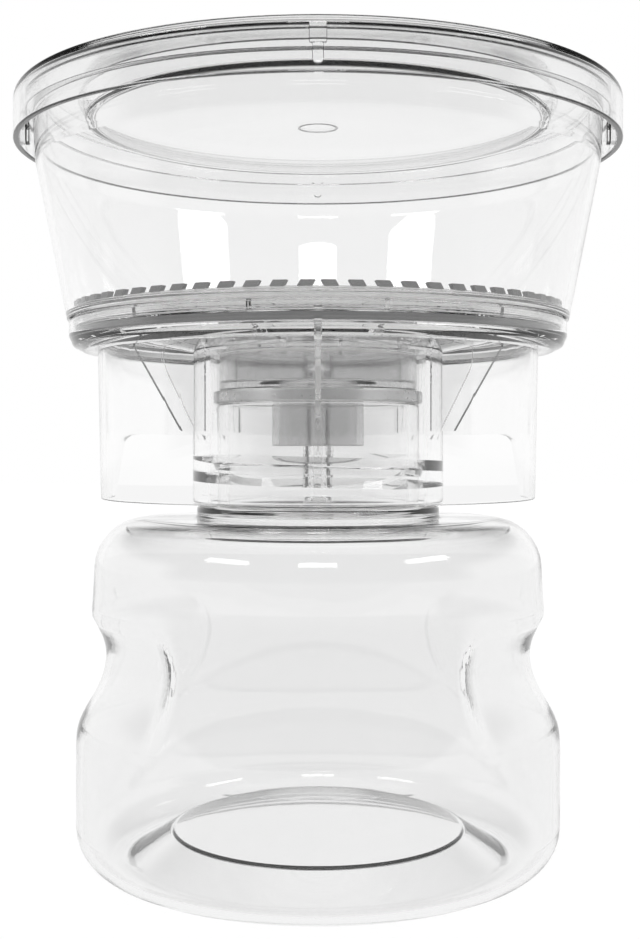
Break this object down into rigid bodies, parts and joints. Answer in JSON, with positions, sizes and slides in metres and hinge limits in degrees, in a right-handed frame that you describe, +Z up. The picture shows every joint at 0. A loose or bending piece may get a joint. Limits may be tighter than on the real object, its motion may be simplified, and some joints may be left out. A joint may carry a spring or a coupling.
{
  "type": "vacuum filtration unit",
  "caption": "Clear vacuum filtration unit: a lidded funnel over a membrane, on a ribbed base with a hose port, screwed onto a waisted receiver bottle.",
  "frame": {"origin": "centre of the receiver bottle's foot, on the surface it stands on", "axes": "+Z up along the common axis of bottle, base, funnel and lid; +Y towards the hose port at the back; +X to the right seen from the front"},
  "size_m": [0.13, 0.13, 0.1637],
  "materials": {
    "bottle_plastic": "clear, moulded glossy polystyrene",
    "base_plastic": "clear, moulded glossy polystyrene",
    "funnel_plastic": "clear, moulded glossy polystyrene",
    "lid_plastic": "clear, moulded glossy polystyrene",
    "ring_plastic": "smoke-clear moulded polystyrene",
    "silicone": "translucent silicone, satin",
    "grey_rubber": "grey elastomer, satin",
    "membrane_white": "matte white microporous sheet",
    "porous_white": "matte sintered plastic"
  },
  "bodies": {
    "bottle": {"receiver_bottle": "bottle_plastic"},
    "gasket": {"neck_gasket": "silicone"},
    "head": {"filter_base": "base_plastic", "port_frit": "porous_white", "funnel_seal": "grey_rubber", "membrane": "membrane_white", "retaining_ring": "ring_plastic", "funnel": "funnel_plastic"},
    "lid": {"lid": "lid_plastic"}
  },
  "joints": [
    {"name": "head_climb", "type": "slide", "parent": "bottle", "child": "gasket", "axis": [0, 0, 1], "range_m": [0, 0.0261]},
    {"name": "head_turn", "type": "hinge", "parent": "gasket", "child": "head", "pos_m": [0, 0, 0.088], "axis": [0, 0, 1], "range_deg": [0, 2340]},
    {"name": "lid_lift", "type": "slide", "parent": "head", "child": "lid", "axis": [0, 0, 1], "range_m": [0, 0.03]}
  ],
  "couplings": [
    {"joint": "head_climb", "follows": "head_turn", "m_per_rad": 0.00063662}
  ]
}
